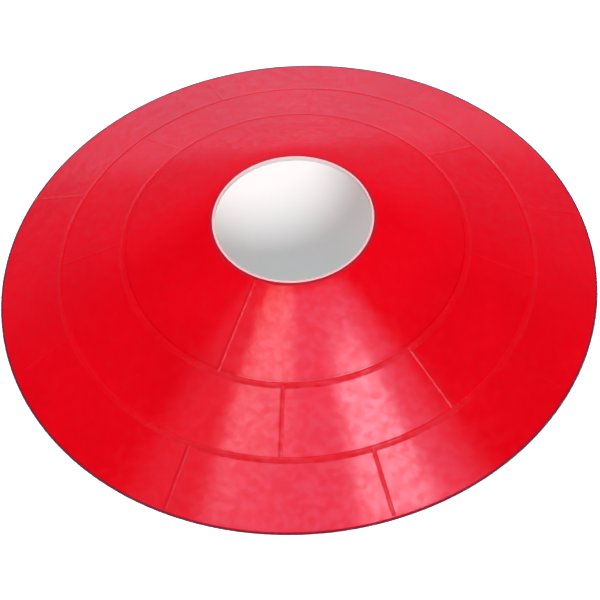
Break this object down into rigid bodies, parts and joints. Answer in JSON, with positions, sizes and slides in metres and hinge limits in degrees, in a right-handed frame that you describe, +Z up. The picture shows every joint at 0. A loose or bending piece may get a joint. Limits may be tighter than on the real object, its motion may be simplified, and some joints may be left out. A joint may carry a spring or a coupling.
{
  "type": "disc marker cone",
  "caption": "Low, flexible disc-shaped sports marker cone with a wide centre hole, two raised rings and staggered raised radial lines.",
  "frame": {"origin": "centre of the flat ring that the rim stands on, on the ground under the hole's axis", "axes": "+Z up along the hole's axis; -Y is the front as pictured; +X is to the right of the picture"},
  "size_m": [0.19, 0.19, 0.0402],
  "materials": {
    "red_plastic": "Glossy soft polyethylene, coloured through, with the faint mottle of a moulded sheet."
  },
  "bodies": {
    "root": {"cone_wall": "red_plastic", "hole_lip": "red_plastic", "base_rim": "red_plastic", "upper_ring_bead": "red_plastic", "lower_ring_bead": "red_plastic", "upper_line_beads": "red_plastic", "middle_line_beads": "red_plastic", "lower_line_beads": "red_plastic"}
  },
  "joints": []
}
